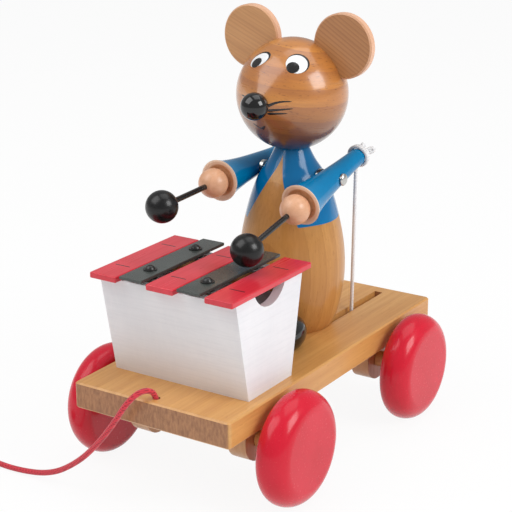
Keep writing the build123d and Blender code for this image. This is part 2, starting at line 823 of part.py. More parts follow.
def make_pull_cord():
    radii = bend_radii(cord_route)
    with BuildPart() as pull_cord:
        with BuildLine() as path:
            FilletPolyline(*cord_route, radius=radii)
        with BuildSketch(path.line ^ 0):
            Circle(cord_r)
        sweep()
    keep(pull_cord.part, "pull_cord")
    print("cord bends", [round(r, 1) for r in radii])
    run = sum(edge.length for edge in path.edges())
    ratio = pull_cord.part.volume / (pi * cord_r**2 * run)
    coiled = coil_columns * coil_layers * 2 * pi * coil_mid_r
    print("cord run", round(run, 1), "volume ratio", round(ratio, 4), "coiled", round(coiled, 1))

    width, height = coil_columns * cord_d, coil_layers * cord_d
    upright = Plane(origin=(coil_x, coil_y, 0), x_dir=(1, 0, 0), z_dir=(0, -1, 0))
    middle = Axis((coil_x, coil_y, 0), (0, 0, 1))
    with BuildPart() as coil:
        with BuildSketch(upright):
            ring_section(width, height, coil_corner)
        revolve(axis=middle)
        add(pull_cord.part, mode=Mode.SUBTRACT)
    keep(coil.part, "pull_cord_coil")

    with BuildPart() as tie:
        with BuildSketch(upright):
            ring_section(width + 2 * tie_t, height + 2 * tie_t, coil_corner + tie_t)
        revolve(axis=middle, revolution_arc=tie_turn)
        add(coil.part, mode=Mode.SUBTRACT)
    keep(tie.part.rotate(middle, tie_angle), "cord_tie")

    bead_r = bead_d / 2
    bead_z = bead_r
    lip_x = coil_x + coil_mid_r - width / 2 + coil_corner
    lip_z = coil_lift + height - coil_corner
    bead_x = lip_x - sqrt((bead_r + coil_corner) ** 2 - (bead_z - lip_z) ** 2)
    bore_r = bead_bore_d / 2
    bore_half = sqrt(bead_r**2 - bore_r**2)
    with BuildPart() as bead:
        with BuildSketch(Plane(origin=(bead_x, coil_y, bead_z), x_dir=(1, 0, 0), z_dir=(0, -1, 0))):
            with BuildLine():
                Line((bore_half, bore_r), (-bore_half, bore_r))
                ThreePointArc((-bore_half, bore_r), (0, bead_r), (bore_half, bore_r))
            make_face()
        revolve(axis=Axis((bead_x, coil_y, bead_z), (1, 0, 0)))
    keep(bead.part, "pull_bead")

    knot = (bead_x - bead_r - bead_knot_r, coil_y, bead_z)
    shank = bead_r + bead_knot_r + bore_half
    waist = sqrt(bead_knot_r**2 - cord_r**2)
    with BuildPart() as bead_knot:
        with BuildSketch(Plane(origin=knot, x_dir=(1, 0, 0), z_dir=(0, -1, 0))):
            with BuildLine():
                ThreePointArc((-bead_knot_r, 0), (0, bead_knot_r), (waist, cord_r))
                Polyline((waist, cord_r), (shank, cord_r), (shank, 0), (-bead_knot_r, 0))
            make_face()
        revolve(axis=Axis(knot, (1, 0, 0)))
    keep(bead_knot.part, "bead_knot")

    hole = (0, cord_hole_y, board_bottom)
    bulge = (board_knot_r**2 + board_knot_h**2) / (2 * board_knot_h)
    half_way = board_knot_r / 2
    half_drop = sqrt(bulge**2 - half_way**2) - bulge + board_knot_h
    with BuildPart() as board_knot:
        with BuildSketch(Plane(origin=hole, x_dir=(1, 0, 0), z_dir=(0, -1, 0))):
            with BuildLine():
                ThreePointArc((0, -board_knot_h), (half_way, -half_drop), (board_knot_r, 0))
                Polyline(
                    (board_knot_r, 0),
                    (cord_r, 0),
                    (cord_r, cord_route[0][2] - board_bottom),
                    (0, cord_route[0][2] - board_bottom),
                    (0, -board_knot_h),
                )
            make_face()
        revolve(axis=Axis(hole, (0, 0, 1)))
    keep(board_knot.part, "board_knot")


# ================================================================ everything
make_board()
for block_y, end in ((front_axle_y, "front"), (rear_axle_y, "rear")):
    with BuildPart() as bearing_block:
        with BuildSketch(Plane.YZ.offset(block_outer_x - block_t)):
            with Locations((block_y, axle_z)):
                Circle(block_r)
            with Locations((block_y, (axle_z + board_bottom) / 2)):
                Rectangle(2 * block_r, board_bottom - axle_z)
            with Locations((block_y, axle_z)):
                Circle(axle_r + running, mode=Mode.SUBTRACT)
        extrude(amount=block_t)
    keep(bearing_block.part, f"{end}_left_block")
    mirrored(bearing_block.part, f"{end}_right_block")
    make_wheels(block_y, end)
    make_spacers(block_y, end)
make_axles()
make_crank_loops()
make_board_screws()

staple_part = staple_solids()
make_box(staple_part)
make_rails(staple_part)
make_bars(staple_part)
make_bar_fasteners(staple_part)

make_mouse_body()
make_neck_peg()
make_head()
make_ears()
make_nose()
make_feet()
make_shoulder()
for side, droop, name in ((1, left_droop, "left"), (-1, right_droop, "right")):
    knot_part = make_arm(side, droop, name)
    make_drive_string(side, droop, name, knot_part)
make_pull_cord()
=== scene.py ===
import math

import bmesh
import bpy
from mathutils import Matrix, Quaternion, Vector


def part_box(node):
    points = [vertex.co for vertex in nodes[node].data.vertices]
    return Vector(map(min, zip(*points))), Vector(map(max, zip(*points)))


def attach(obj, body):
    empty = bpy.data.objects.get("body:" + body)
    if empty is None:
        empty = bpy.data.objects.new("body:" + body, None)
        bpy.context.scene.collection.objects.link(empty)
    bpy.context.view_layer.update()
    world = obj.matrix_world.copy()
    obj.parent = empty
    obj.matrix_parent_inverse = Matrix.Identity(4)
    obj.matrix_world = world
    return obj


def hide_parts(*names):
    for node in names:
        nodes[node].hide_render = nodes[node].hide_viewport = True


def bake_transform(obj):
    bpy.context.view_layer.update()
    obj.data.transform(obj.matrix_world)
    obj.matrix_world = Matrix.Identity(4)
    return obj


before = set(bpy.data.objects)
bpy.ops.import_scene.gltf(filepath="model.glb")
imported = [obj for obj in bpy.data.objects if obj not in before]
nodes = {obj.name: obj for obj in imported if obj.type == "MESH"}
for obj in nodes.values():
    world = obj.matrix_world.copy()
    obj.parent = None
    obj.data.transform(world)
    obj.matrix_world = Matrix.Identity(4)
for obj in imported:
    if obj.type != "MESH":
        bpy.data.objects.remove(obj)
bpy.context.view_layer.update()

MM = 0.001

# Places of the toy that its finishes and drawn pieces share, in mm
HEAD_MIDDLE = (0, 28.5, 186)
HEAD_R = 30.0
BODY_MIDDLE = (0, 28.5, 0)
SHOULDER = (25.2, 28.5, 143.0)
ARMS = {"left": (1, 12.0), "right": (-1, 1.8)}  # side of the body, and droop in degrees
EAR_MIDDLE = (28.4, 33, 213)


def mm(*values):
    return Vector(values) * MM


def shade(code):
    """#rrggbb as the linear colour that a shader socket takes."""
    parts = [int(code[i : i + 2], 16) / 255 for i in (1, 3, 5)]
    linear = [c / 12.92 if c <= 0.04045 else ((c + 0.055) / 1.055) ** 2.4 for c in parts]
    return (*linear, 1.0)


# ------------------------------------------------------------------ camera
CAMERA_PLACE = (416.4, -641.9, 358.6)
CAMERA_TARGET = (-13.05, 12.13, 96.92)
CAMERA_ROLL = math.radians(-0.35)
LENS = 106
SENSOR = 36


def aim(thing, place, target, roll=0.0):
    thing.location = place
    look = (target - place).to_track_quat("-Z", "Y")
    thing.rotation_mode = "QUATERNION"
    thing.rotation_quaternion = look @ Quaternion((0, 0, 1), roll)


def put_camera():
    lens = bpy.data.cameras.new("camera")
    lens.sensor_width = SENSOR
    lens.lens = LENS
    lens.clip_end = 20
    camera = bpy.data.objects.new("camera", lens)
    bpy.context.scene.collection.objects.link(camera)
    aim(camera, mm(*CAMERA_PLACE), mm(*CAMERA_TARGET), CAMERA_ROLL)
    bpy.context.scene.camera = camera


put_camera()


# ------------------------------------------------------------------ pieces
def add_object(name, data, body=None):
    made = bpy.data.objects.new(name, data)
    bpy.context.scene.collection.objects.link(made)
    if body:
        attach(made, body)
    return made


def add_mesh(name, shape, body=None, smooth=True):
    """Turns a bmesh into a piece; its place is in its mesh."""
    data = bpy.data.meshes.new(name)
    shape.to_mesh(data)
    shape.free()
    data.shade_smooth() if smooth else data.shade_flat()
    return add_object(name, data, body)


def nurbs_line(data, points, closed=False, order=3):
    line = data.splines.new("NURBS")
    line.points.add(len(points) - 1)
    for spot, point in zip(line.points, points):
        spot.co = (*point, 1)
    line.order_u = order
    line.use_cyclic_u = closed
    line.use_endpoint_u = not closed


def cord_curve(name, radius, resolution=8):
    data = bpy.data.curves.new(name, "CURVE")
    data.dimensions = "3D"
    data.bevel_depth = radius
    data.bevel_resolution = 4
    data.resolution_u = resolution
    data.use_fill_caps = True
    return data


def mesh_of_curve(data):
    """The curve as a mesh with its ends and seams joined; without bevel, its bare line."""
    line = bpy.data.objects.new("line", data)
    bpy.context.scene.collection.objects.link(line)
    bpy.context.view_layer.update()
    seen = line.evaluated_get(bpy.context.evaluated_depsgraph_get())
    made = bpy.data.meshes.new_from_object(seen)
    bpy.data.objects.remove(line)
    if data.bevel_depth:
        shape = bmesh.new()
        shape.from_mesh(made)
        bmesh.ops.remove_doubles(shape, verts=shape.verts, dist=1e-6)
        bmesh.ops.recalc_face_normals(shape, faces=shape.faces)
        shape.to_mesh(made)
        shape.free()
        made.shade_smooth()
    return made


# ------------------------------------------------------------------ pull cord
CORD_R = 1.5
CORD_ROUTE = (
    (0, -98, 52.5),
    (0, -98, 59.6),
    (-3.4, -104.6, 62.6),
    (-8.5, -110.6, 57),
    (-15.5, -112.4, 45),
    (-26, -113.2, 31),
    (-40, -112.6, 17),
    (-59, -112, 4.8),
    (-82, -113, 1.6),
    (-104, -111.7, 1.6),
)
COIL_MIDDLE = (-113.5, -132.5)
COIL_LAYS = ((20, 2), (20, 5), (17, 5), (17, 2), (14, 2), (14, 5))  # radius and height
COIL_STEPS = 16  # points in a turn
COIL_START = 92.0  # degrees
COIL_FINISH = 115.0  # degrees that the last turn falls short
COIL_SHIFT = 0.25  # share of a turn that crosses to the next lay
BEAD_END = (  # from the coil's top round into the bead, measured from the coil's middle
    (2.5, -15.4, 6.4),
    (10.2, -14.6, 7.9),
    (17.9, -12.3, 8.05),
    (20.6, -8.1, 8.05),
    (19.7, -3.2, 8.0),
    (15.8, 0, 7.6),
    (9, 0, 7.5),
)


def coil_points():
    """The coil's turns, from the outer lower one to the inner upper one."""
    points = []
    total = len(COIL_LAYS) * 360 - COIL_START - COIL_FINISH
    count = int(total / 360 * COIL_STEPS)
    for i in range(count + 1):
        turned = total * i / count
        lay, part = divmod(turned / 360, 1)
        lay = min(int(lay), len(COIL_LAYS) - 1)
        following = COIL_LAYS[min(lay + 1, len(COIL_LAYS) - 1)]
        shift = max(0.0, (part - 1 + COIL_SHIFT) / COIL_SHIFT)
        shift = shift * shift * (3 - 2 * shift)
        radius = COIL_LAYS[lay][0] * (1 - shift) + following[0] * shift
        height = COIL_LAYS[lay][1] * (1 - shift) + following[1] * shift
        angle = math.radians(COIL_START + turned)
        points.append((COIL_MIDDLE[0] + radius * math.cos(angle),
                       COIL_MIDDLE[1] + radius * math.sin(angle), height))
    points += [(COIL_MIDDLE[0] + x, COIL_MIDDLE[1] + y, z) for x, y, z in BEAD_END]
    return points


def lay_pull_cord():
    data = cord_curve("pull_cord_line", 0)
    nurbs_line(data, [mm(*p) for p in (*CORD_ROUTE, *coil_points())])
    middle = [tuple(vert.co) for vert in mesh_of_curve(data).vertices]
    data.bevel_depth = CORD_R * MM
    cord = add_object("pull_cord_braid", mesh_of_curve(data), "chassis")
    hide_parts("pull_cord", "pull_cord_coil")
    return cord


pull_cord = lay_pull_cord()


# ------------------------------------------------------------------ finishes
class Finish:
    """One procedural material, built on Object coordinates."""

    def __init__(self, name, rough=0.4, **sockets):
        self.material = bpy.data.materials.new(name)
        self.material.use_nodes = True
        self.tree = self.material.node_tree
        self.shader = self.tree.nodes["Principled BSDF"]
        self.shader.inputs["Roughness"].default_value = rough
        for socket, value in sockets.items():
            self.shader.inputs[socket.replace("_", " ")].default_value = value
        coordinates = self.tree.nodes.new("ShaderNodeTexCoord")
        self.place = coordinates.outputs["Object"]
        self.normal = coordinates.outputs["Normal"]

    def use(self, kind, inputs=None, **settings):
        made = self.tree.nodes.new("ShaderNode" + kind)
        for key, value in settings.items():
            setattr(made, key, value)
        for key, value in (inputs or {}).items():
            if isinstance(value, bpy.types.NodeSocket):
                self.tree.links.new(value, made.inputs[key])
            else:
                made.inputs[key].default_value = value
        return made

    def stretch(self, scale, turn=(0, 0, 0), centre=(0, 0, 0)):
        """Coordinates measured from centre, turned, then scaled."""
        moved = self.use("VectorMath", {0: self.place, 1: centre}, operation="SUBTRACT")
        turned = self.use("VectorRotate", {"Vector": moved.outputs[0], "Rotation": turn},
                          rotation_type="EULER_XYZ")
        scaled = self.use("VectorMath", {0: turned.outputs[0], 1: scale}, operation="MULTIPLY")
        return scaled.outputs[0]

    def noise(self, vector, scale, detail=4.0, rough=0.5):
        return self.use("TexNoise", {"Vector": vector, "Scale": scale, "Detail": detail,
                                     "Roughness": rough}).outputs["Fac"]

    def bands(self, vector, period, twist, twist_scale, profile="SAW", along="Z"):
        """Parallel bands, one every period, in metres along one axis, and wandering by twist."""
        wave = self.use("TexWave", {"Vector": vector, "Scale": math.pi / 10 / period,
                                    "Distortion": twist, "Detail": 3.0,
                                    "Detail Scale": twist_scale},
                        wave_type="BANDS", bands_direction=along, wave_profile=profile)
        return wave.outputs["Fac"]

    def span(self, value, low, high, out_low=0.0, out_high=1.0):
        return self.use("MapRange", {"Value": value, "From Min": low, "From Max": high,
                                     "To Min": out_low, "To Max": out_high}).outputs["Result"]

    def maths(self, operation, a, b=0.0):
        return self.use("Math", {0: a, 1: b}, operation=operation).outputs[0]

    def mix(self, factor, a, b):
        return self.use("Mix", {0: factor, 6: a, 7: b}, data_type="RGBA").outputs[2]

    def colour(self, value):
        self.tree.links.new(value, self.shader.inputs["Base Color"])

    def roughness(self, value):
        self.tree.links.new(value, self.shader.inputs["Roughness"])

    def bump(self, height, strength, depth):
        made = self.use("Bump", {"Height": height, "Strength": strength, "Distance": depth})
        self.tree.links.new(made.outputs["Normal"], self.shader.inputs["Normal"])


def grained(finish, dark, middle, pale, turn, centre, period, rings, flecks):
    """Wood whose fibres run along X once turned: broad rings, fine fibres and short flecks."""
    lengthways = finish.stretch((0.16, 1, 1), turn, centre)
    ring = finish.bands(lengthways, period, 1.6, 0.6, along="Y")
    fibres = finish.noise(finish.stretch((25, 700, 700), turn, centre), 1.0, 5.0, 0.6)
    broad = finish.noise(finish.stretch((6, 40, 40), turn, centre), 1.0, 3.0, 0.5)
    pores = finish.noise(finish.stretch((240, 1500, 1500), turn, centre), 1.0, 2.0, 0.5)
    tone = finish.mix(finish.span(broad, 0.3, 0.7), shade(middle), shade(pale))
    tone = finish.mix(finish.maths("MULTIPLY", ring, rings), tone, shade(dark))
    tone = finish.mix(finish.span(fibres, 0.35, 0.75, 0.0, 0.35), tone, shade(dark))
    tone = finish.mix(finish.span(pores, 0.64, 0.72, 0.0, flecks), tone, shade(dark))
    return tone, fibres


def beech(name, turn, rough=0.4, dark="#AE6C32", middle="#D69A52", pale="#E0AC68",
          end_grain=None):
    """Pale beech; with an end_grain colour, its ends across Y show sawn pores."""
    finish = Finish(name, rough, Coat_Weight=0.25, Coat_Roughness=0.2)
    tone, fibres = grained(finish, dark, middle, pale, turn, (0, 0, 0), 0.011, 0.22, 0.35)
    if end_grain:
        facing = finish.use("SeparateXYZ", {0: finish.normal}).outputs["Y"]
        cut = finish.span(finish.maths("ABSOLUTE", facing), 0.75, 0.95)
        pores = finish.noise(finish.stretch((700, 60, 260)), 1.0, 4.0, 0.65)
        sawn = finish.mix(finish.span(pores, 0.35, 0.7), shade(end_grain), shade("#8A5A38"))
        tone = finish.mix(cut, tone, sawn)
    finish.colour(tone)
    finish.roughness(finish.span(fibres, 0.3, 0.7, rough - 0.06, rough + 0.08))
    finish.bump(fibres, 0.12, 0.00015)
    return finish.material


QUARTER_TURN = math.pi / 2
ALONG_X = (0, 0, 0)
ALONG_Y = (0, 0, QUARTER_TURN)
ALONG_Z = (0, QUARTER_TURN, 0)

SHADE_UNDER_HEAD_FROM = 0.188  # the head's painted shade on its underside darkens from this height to the next, in metres
SHADE_UNDER_HEAD_TO = 0.16


def head_wood():
    """Varnished ball with near-level growth rings, and painted shade darkening its underside."""
    finish = Finish("varnished_head", 0.3, Coat_Weight=0.75, Coat_Roughness=0.13)
    centre = mm(*HEAD_MIDDLE)
    tilt = (math.radians(4), math.radians(-5), 0)
    lengthways = finish.stretch((0.5, 0.5, 1), tilt, centre)
    ring = finish.bands(lengthways, 0.0085, 2.4, 0.7)
    ring_noise = finish.noise(finish.stretch((14, 14, 90), tilt, centre), 1.0, 4.0, 0.55)
    fibres = finish.noise(finish.stretch((60, 60, 900), tilt, centre), 1.0, 4.0, 0.6)
    flecks = finish.noise(finish.stretch((350, 350, 1500), tilt, centre), 1.0, 2.0)
    tone = finish.mix(finish.span(ring_noise, 0.3, 0.7), shade("#B8702E"), shade("#D28E44"))
    tone = finish.mix(finish.span(ring, 0.25, 1.0, 0.0, 0.55), tone, shade("#A0623A"))
    tone = finish.mix(finish.span(fibres, 0.4, 0.75, 0.0, 0.3), tone, shade("#8E5431"))
    tone = finish.mix(finish.span(flecks, 0.62, 0.72, 0.0, 0.55), tone, shade("#6E3B20"))
    # Painted shade: the colour darkens towards the head's underside.
    height = finish.use("SeparateXYZ", {0: finish.place}).outputs["Z"]
    painted_shade = finish.span(height, SHADE_UNDER_HEAD_FROM, SHADE_UNDER_HEAD_TO, 0.0, 0.92)
    tone = finish.mix(painted_shade, tone, shade("#42262A"))
    finish.colour(tone)
    finish.roughness(finish.span(fibres, 0.3, 0.7, 0.26, 0.36))
    finish.bump(fibres, 0.06, 0.0001)
    return finish.material


def ear_wood(side):
    """Sawn slice with slanting dark growth lines and a paler rim."""
    finish = Finish(f"sawn_ear_{side}", 0.36, Coat_Weight=0.2, Coat_Roughness=0.25)
    centre = mm(ARMS[side][0] * EAR_MIDDLE[0], *EAR_MIDDLE[1:])
    slope = (0, math.radians(-32 if side == "left" else -24), 0)
    lengthways = finish.stretch((0.08, 1, 1), slope, centre)
    line = finish.bands(lengthways, 0.0021, 3.2, 0.6)
    fibres = finish.noise(finish.stretch((30, 300, 900), slope, centre), 1.0, 4.0, 0.6)
    broad = finish.noise(finish.stretch((12, 60, 60), slope, centre), 1.0, 2.0)
    strength = 0.6 if side == "left" else 0.22
    low, high = ("#AE784A", "#BC8656") if side == "left" else ("#C48F5C", "#D09C68")
    tone = finish.mix(finish.span(broad, 0.3, 0.7), shade(low), shade(high))
    tone = finish.mix(finish.span(line, 0.45, 1.0, 0.0, strength), tone, shade("#94603C"))
    tone = finish.mix(finish.span(fibres, 0.4, 0.75, 0.0, 0.3), tone, shade("#8A5836"))
    facing = finish.use("SeparateXYZ", {0: finish.normal}).outputs["Y"]
    rim = finish.span(finish.maths("ABSOLUTE", facing), 0.85, 0.6)
    tone = finish.mix(rim, tone, shade("#E3B190"))
    finish.colour(tone)
    finish.bump(fibres, 0.15, 0.00012)
    return finish.material


JACKET_TOP = 0.1545  # height at which the jacket's two edges meet, in metres
JACKET_HEM = 0.1192
EDGE_MEET = math.radians(4)
LEFT_SPREAD = 22.5  # radians that an edge turns round the body per metre down
RIGHT_SPREAD = 17.0


def body_finish():
    """Honey wood with upright grain, and a blue painted jacket open at the front."""
    finish = Finish("varnished_body", 0.3, Coat_Weight=0.35, Coat_Roughness=0.1,
                    Specular_IOR_Level=0.2)
    axis = mm(*BODY_MIDDLE)
    tone, fibres = grained(finish, "#9C602C", "#C08646", "#D29C5A", ALONG_Z, axis,
                           0.009, 0.3, 0.5)
    parts = finish.use("SeparateXYZ", {0: finish.place}).outputs
    back = finish.maths("SUBTRACT", parts["Y"], axis.y)
    turned = finish.maths("ARCTAN2", parts["X"], finish.maths("MULTIPLY", back, -1.0))
    drop = finish.maths("SUBTRACT", JACKET_TOP, parts["Z"])
    left_edge = finish.maths("SUBTRACT", EDGE_MEET, finish.maths("MULTIPLY", drop, LEFT_SPREAD))
    right_edge = finish.maths("ADD", EDGE_MEET, finish.maths("MULTIPLY", drop, RIGHT_SPREAD))
    beyond_left = finish.span(finish.maths("SUBTRACT", left_edge, turned), -0.006, 0.006)
    beyond_right = finish.span(finish.maths("SUBTRACT", turned, right_edge), -0.006, 0.006)
    outside = finish.maths("MAXIMUM", beyond_left, beyond_right)
    hem_noise = finish.noise(finish.stretch((25, 25, 0)), 1.0, 2.0)
    wave = finish.span(hem_noise, 0.3, 0.7, -0.0006, 0.0006)
    hem = finish.maths("ADD", JACKET_HEM, wave)
    above = finish.span(finish.maths("SUBTRACT", parts["Z"], hem), -0.00012, 0.00012)
    jacket = finish.maths("MULTIPLY", outside, above)
    cloud = finish.noise(finish.stretch((30, 30, 30)), 1.0, 3.0)
    blue = finish.mix(finish.span(cloud, 0.3, 0.7), shade("#00669C"), shade("#0074AC"))
    finish.colour(finish.mix(jacket, tone, blue))
    finish.roughness(finish.span(jacket, 0.0, 1.0, 0.34, 0.16))
    relief = finish.mix(jacket, fibres, (0.6, 0.6, 0.6, 1.0))
    finish.bump(relief, 0.05, 0.00012)
    return finish.material


def gloss_paint(name, low, high, rough, coat, ripple, shine=0.5):
    """Thick sprayed lacquer, faintly rippled."""
    finish = Finish(name, rough, Coat_Weight=coat, Coat_Roughness=0.05,
                    Specular_IOR_Level=shine)
    cloud = finish.noise(finish.place, 45.0, 3.0, 0.5)
    speck = finish.noise(finish.place, 900.0, 2.0, 0.5)
    tone = finish.mix(finish.span(cloud, 0.3, 0.7), shade(low), shade(high))
    finish.colour(tone)
    finish.roughness(finish.span(speck, 0.3, 0.7, rough - 0.03, rough + 0.04))
    finish.bump(finish.noise(finish.place, 260.0, 2.0, 0.5), ripple, 0.0002)
    return finish.material


SLEEVE_REACH = 0.0332  # from the shoulder to the cuff's end, in metres


def sleeve_finish(side):
    """Blue lacquer with the turned cuff's end grain left bare, and a painted highlight along the
    cuff's lip.
    """
    droop = ARMS[side][1]
    finish = Finish(f"sleeve_{side}", 0.24, Coat_Weight=0.25, Coat_Roughness=0.08,
                    Specular_IOR_Level=0.1)
    ahead = Vector((0, -math.cos(math.radians(droop)), -math.sin(math.radians(droop))))
    facing = finish.use("VectorMath", {0: finish.normal, 1: ahead},
                        operation="DOT_PRODUCT").outputs["Value"]
    bare = finish.span(facing, 0.25, 0.35)
    along = finish.use("VectorMath", {0: finish.place, 1: ahead},
                       operation="DOT_PRODUCT").outputs["Value"]
    tip = mm(*SHOULDER).dot(ahead) + SLEEVE_REACH
    # Painted highlight: the last 0.6 mm of the cuff, its lip, is coloured pale.
    rim_highlight = finish.span(along, tip - 0.0010, tip - 0.0006)
    cloud = finish.noise(finish.place, 40.0, 3.0)
    blue = finish.mix(finish.span(cloud, 0.3, 0.7), shade("#006FA2"), shade("#007EB2"))
    grain = finish.noise(finish.stretch((500, 40, 500)), 1.0, 4.0, 0.6)
    wood = finish.mix(finish.span(grain, 0.35, 0.7), shade("#C08C62"), shade("#D6A57E"))
    whole = finish.mix(bare, blue, wood)
    finish.colour(finish.mix(rim_highlight, whole, shade("#F0D2B8")))
    finish.roughness(finish.span(bare, 0.0, 1.0, 0.14, 0.4))
    finish.bump(finish.noise(finish.place, 260.0, 2.0), 0.04, 0.0002)
    return finish.material


def box_paint():
    """Brushed white satin paint over wood."""
    finish = Finish("white_satin_paint", 0.42, Coat_Weight=0.15, Coat_Roughness=0.3)
    strokes = finish.noise(finish.stretch((40, 40, 900)), 1.0, 4.0, 0.6)
    strokes_up = finish.noise(finish.stretch((500, 500, 60)), 1.0, 4.0, 0.6)
    cloud = finish.noise(finish.place, 28.0, 4.0, 0.6)
    tone = finish.mix(finish.span(cloud, 0.3, 0.7), shade("#E3E4E8"), shade("#EEEEF1"))
    tone = finish.mix(finish.span(strokes, 0.45, 0.75, 0.0, 0.35), tone, shade("#D6D7DC"))
    tone = finish.mix(finish.span(strokes_up, 0.5, 0.8, 0.0, 0.25), tone, shade("#F4F3F4"))
    finish.colour(tone)
    finish.roughness(finish.span(strokes_up, 0.3, 0.7, 0.36, 0.5))
    finish.bump(finish.maths("ADD", strokes, strokes_up), 0.12, 0.0002)
    return finish.material


def red_bar_paint():
    """Red stain over wood, its grain still showing along the bar."""
    finish = Finish("red_bar_paint", 0.3, Coat_Weight=0.3, Coat_Roughness=0.15)
    grain = finish.noise(finish.stretch((450, 18, 450)), 1.0, 4.0, 0.6)
    cloud = finish.noise(finish.place, 60.0, 3.0)
    tone = finish.mix(finish.span(cloud, 0.3, 0.7), shade("#CF2434"), shade("#DC3040"))
    tone = finish.mix(finish.span(grain, 0.45, 0.8, 0.0, 0.35), tone, shade("#B01626"))
    finish.colour(tone)
    finish.roughness(finish.span(grain, 0.3, 0.7, 0.26, 0.38))
    finish.bump(grain, 0.12, 0.00015)
    return finish.material


def black_satin(name, rough, low, high):
    finish = Finish(name, rough, Coat_Weight=0.3, Coat_Roughness=0.15)
    cloud = finish.noise(finish.place, 70.0, 4.0, 0.6)
    speck = finish.noise(finish.place, 1200.0, 2.0, 0.5)
    finish.colour(finish.mix(finish.span(cloud, 0.3, 0.7), shade(low), shade(high)))
    finish.roughness(finish.span(speck, 0.3, 0.7, rough - 0.05, rough + 0.07))
    finish.bump(speck, 0.08, 0.0001)
    return finish.material


def bright_steel():
    finish = Finish("bright_steel", 0.25, Metallic=1.0)
    scratch = finish.noise(finish.stretch((60, 900, 900)), 1.0, 4.0, 0.6)
    finish.colour(finish.mix(finish.span(scratch, 0.3, 0.7), shade("#B9B8B4"), shade("#D8D7D4")))
    finish.roughness(finish.span(scratch, 0.3, 0.7, 0.2, 0.34))
    finish.bump(scratch, 0.06, 0.0001)
    return finish.material


def grey_felt():
    finish = Finish("grey_felt", 0.95, Sheen_Weight=0.4)
    fuzz = finish.noise(finish.place, 1500.0, 4.0, 0.7)
    finish.colour(finish.mix(finish.span(fuzz, 0.3, 0.7), shade("#6F6E6C"), shade("#9A9894")))
    finish.bump(fuzz, 0.6, 0.0004)
    return finish.material


def twisted_thread(name, low, high, relief=0.5):
    """Fine cord: crossing plaits drawn by two slanting waves, with fuzz between."""
    finish = Finish(name, 0.75, Sheen_Weight=0.35, Sheen_Roughness=0.5)
    slants = [finish.bands(finish.stretch((1, 1, 1), turn), 0.0011, 0.6, 1.0, "SIN")
              for turn in ((0.6, 0.7, 0.2), (-0.6, -0.5, 0.9))]
    plait = finish.maths("MAXIMUM", *slants)
    fuzz = finish.noise(finish.place, 2500.0, 3.0, 0.7)
    tone = finish.mix(finish.span(plait, 0.2, 0.9), shade(low), shade(high))
    tone = finish.mix(finish.span(fuzz, 0.4, 0.8, 0.0, 0.3), tone, shade(low))
    finish.colour(tone)
    finish.bump(finish.maths("ADD", plait, fuzz), relief, 0.0003)
    return finish.material


def paint(piece, material):
    piece.data.materials.clear()
    piece.data.materials.append(material)
    return piece


def dress(material, *names):
    """Gives CAD nodes their finish."""
    for name in names:
        paint(nodes[name], material)


SHARP_EDGE = math.radians(50)  # edges that turn more than this are eased


def ease_edges(width, *names):
    """Rounds the sharp edges of CAD nodes a little, so that they catch the light."""
    for name in names:
        bevel = nodes[name].modifiers.new("eased_edges", "BEVEL")
        bevel.width = width * MM
        bevel.segments = 2
        bevel.limit_method = "ANGLE"
        bevel.angle_limit = SHARP_EDGE
        bevel.use_clamp_overlap = True


beech_long = beech("beech_along_the_board", ALONG_Y, end_grain="#B27D52")
beech_block = beech("beech_blocks", ALONG_Z, middle="#CB9A68", pale="#D8AB7C")
beech_across = beech("beech_across", ALONG_X, middle="#D2A06C")
beech_ball = beech("beech_balls", ALONG_Y, rough=0.36, dark="#C08A62", middle="#DFA57E",
                   pale="#E8B592")
ball_black = gloss_paint("black_gloss", "#0A0A0B", "#101011", 0.3, 0.1, 0.03, 0.4)
nose_black = gloss_paint("nose_black", "#0A0A0B", "#101011", 0.1, 0.5, 0.02, 0.4)
wheel_red = gloss_paint("wheel_red", "#CC142C", "#D61E36", 0.24, 0.22, 0.14, 0.25)
steel = bright_steel()
white_thread = twisted_thread("white_thread", "#E2E2E3", "#ECECED", 0.08)
red_thread = twisted_thread("red_thread", "#9E1424", "#E23446")
bar_black = black_satin("black_bar", 0.3, "#343936", "#414744")
screw_black = black_satin("black_screw", 0.4, "#0C0C0C", "#161616")
stick_black = black_satin("black_stick", 0.25, "#0E0E0F", "#161617")

dress(beech_long, "base_board")
dress(beech_block, "front_left_block", "front_right_block", "rear_left_block", "rear_right_block",
      "neck_peg")
dress(beech_across, "front_spacers", "rear_spacers", "support_rails")
dress(beech_ball, "left_hand", "right_hand", "pull_bead")
dress(head_wood(), "head")
dress(body_finish(), "mouse_body")
for side in ARMS:
    dress(ear_wood(side), f"ear_{side}")
    dress(sleeve_finish(side), f"{side}_sleeve")
dress(ball_black, "left_mallet", "right_mallet")
dress(nose_black, "nose", "foot_left", "foot_right")
dress(stick_black, "left_stick", "right_stick")
dress(wheel_red, "front_wheel_left", "front_wheel_right", "rear_wheel_left", "rear_wheel_right")
dress(box_paint(), "box_front", "box_back", "box_left", "box_right", "box_floor")
dress(red_bar_paint(), "wood_bar_1", "wood_bar_3", "wood_bar_5")
dress(bar_black, "metal_bar_2", "metal_bar_4")
dress(screw_black, "bar_screws", "bar_staples", "bar_washers")
dress(steel, "body_screw", "box_screws", "shoulder_pin", "shoulder_washers",
      "shoulder_caps", "front_axle", "rear_crank_axle")
dress(grey_felt(), "bar_felts")
dress(white_thread, "crank_loops")
dress(red_thread, "cord_tie", "bead_knot", "board_knot")
paint(pull_cord, red_thread)
ease_edges(0.5, "wood_bar_1", "wood_bar_3", "wood_bar_5")
ease_edges(0.3, "metal_bar_2", "metal_bar_4")


